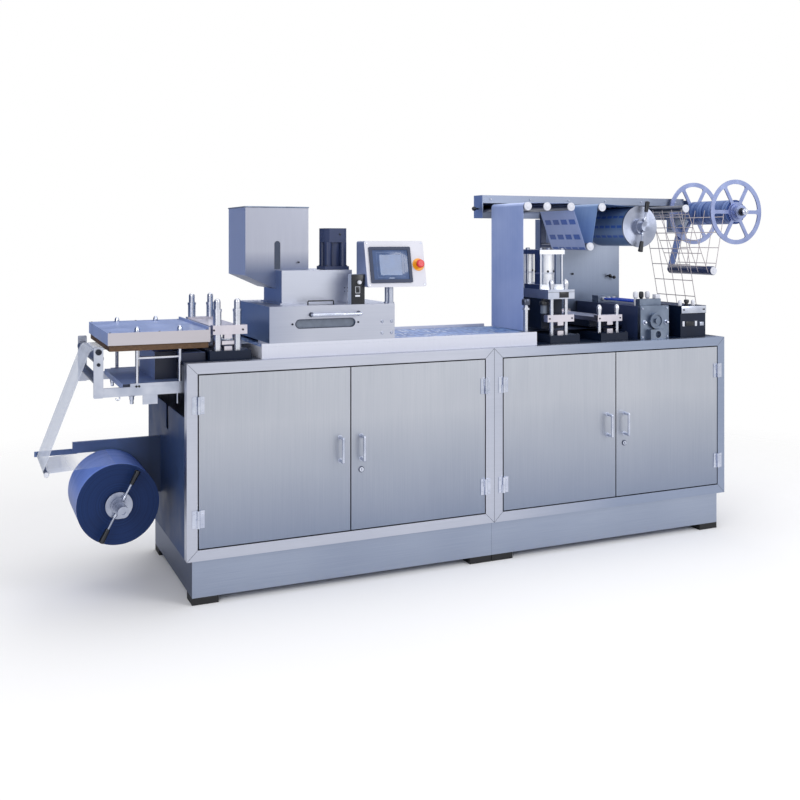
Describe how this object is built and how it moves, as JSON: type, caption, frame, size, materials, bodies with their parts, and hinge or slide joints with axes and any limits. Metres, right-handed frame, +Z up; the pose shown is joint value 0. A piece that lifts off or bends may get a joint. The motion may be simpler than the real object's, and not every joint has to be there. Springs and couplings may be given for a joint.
{
  "type": "blister packing machine",
  "caption": "Flat-plate blister packing machine: steel cabinets with hinged doors under a film roll, heater and forming stations, hopper feeder, control panel, sealing, foil and waste reels.",
  "frame": {"origin": "middle of the machine on the floor", "axes": "+X along the machine, from the film roll to the waste reel; +Y from the door side to the back; +Z up"},
  "size_m": [3.418, 0.832, 1.6539],
  "materials": {
    "frame_steel": "brushed stainless sheet",
    "panel_paint": "satin blue-grey paint",
    "black_plate": "satin black",
    "foot_rubber": "matte",
    "bright_fitting": "polished",
    "aluminium": "machined",
    "arm_paint": "satin paint",
    "film_blue": "wound film",
    "film_clear": "clear film",
    "heater_paint": "satin",
    "board": "pressed insulating board",
    "rail_white": "satin",
    "web_blue": "formed film",
    "motor_paint": "satin slate",
    "panel_white": "satin",
    "screen": "gloss",
    "stop_red": "gloss",
    "tube_blue": "gloss",
    "foil": "printed foil",
    "flange_white": "satin",
    "waste_grey": "trimmed web",
    "waste_blue": "wound waste",
    "roller_navy": "gloss"
  },
  "bodies": {
    "machine": {"front_frames": "frame_steel", "cabinet_panels": "frame_steel", "left_end_panel": "panel_paint", "plinth": "frame_steel", "feet": "foot_rubber", "table_top": "black_plate", "frame_hinges": "bright_fitting", "roll_arm": "arm_paint", "film_web": "film_clear", "infeed_rollers": "bright_fitting", "infeed_brackets": "aluminium", "heater_plate": "heater_paint", "heater_board": "board", "heater_block": "panel_paint", "guide_posts": "bright_fitting", "cross_plates": "aluminium", "station_bases": "black_plate", "guide_rail": "rail_white", "blister_web": "web_blue", "feeder_base": "frame_steel", "feeder_handle": "bright_fitting", "feeder_box": "frame_steel", "hopper": "frame_steel", "feeder_motor": "motor_paint", "speed_box": "motor_paint", "panel_post": "frame_steel", "control_panel": "panel_white", "touch_screen": "screen", "stop_button": "stop_red", "sealing_platen": "aluminium", "air_cylinders": "aluminium", "draw_block": "motor_paint", "draw_gearbox": "aluminium", "air_tubes": "tube_blue", "punch_block": "black_plate", "back_column": "frame_steel", "foil_beam": "frame_steel", "guide_rollers": "aluminium", "foil_web": "foil", "dancer_arm": "aluminium", "dancer_roller": "roller_navy", "waste_web": "waste_grey"},
    "film_roll": {"film_roll": "film_blue", "roll_clamp": "bright_fitting"},
    "foil_reel": {"foil_roll": "foil", "foil_flange": "flange_white"},
    "waste_reel": {"waste_reel": "aluminium", "waste_coil": "waste_blue"},
    "door_1": {"door_1": "frame_steel", "door_fittings_1": "bright_fitting"},
    "door_2": {"door_2": "frame_steel", "door_fittings_2": "bright_fitting"},
    "door_3": {"door_3": "frame_steel", "door_fittings_3": "bright_fitting"},
    "door_4": {"door_4": "frame_steel", "door_fittings_4": "bright_fitting"}
  },
  "joints": [
    {"name": "door_1_hinge", "type": "hinge", "parent": "machine", "child": "door_1", "pos_m": [-1.1765, -0.3805, 0.5], "axis": [0, 0, 1], "range_deg": [-110, 0]},
    {"name": "door_2_hinge", "type": "hinge", "parent": "machine", "child": "door_2", "pos_m": [0.0282, -0.3805, 0.5], "axis": [0, 0, 1], "range_deg": [0, 110]},
    {"name": "door_3_hinge", "type": "hinge", "parent": "machine", "child": "door_3", "pos_m": [0.1135, -0.3805, 0.5], "axis": [0, 0, 1], "range_deg": [-110, 0]},
    {"name": "door_4_hinge", "type": "hinge", "parent": "machine", "child": "door_4", "pos_m": [1.2632, -0.3805, 0.5], "axis": [0, 0, 1], "range_deg": [0, 110]},
    {"name": "film_roll_spin", "type": "hinge", "parent": "machine", "child": "film_roll", "pos_m": [-1.434, -0.029, 0.36], "axis": [0, 1, 0], "continuous": true},
    {"name": "foil_reel_spin", "type": "hinge", "parent": "machine", "child": "foil_reel", "pos_m": [0.967, -0.029, 1.417], "axis": [0, 1, 0], "continuous": true},
    {"name": "waste_reel_spin", "type": "hinge", "parent": "machine", "child": "waste_reel", "pos_m": [1.548, -0.029, 1.493], "axis": [0, 1, 0], "continuous": true}
  ]
}
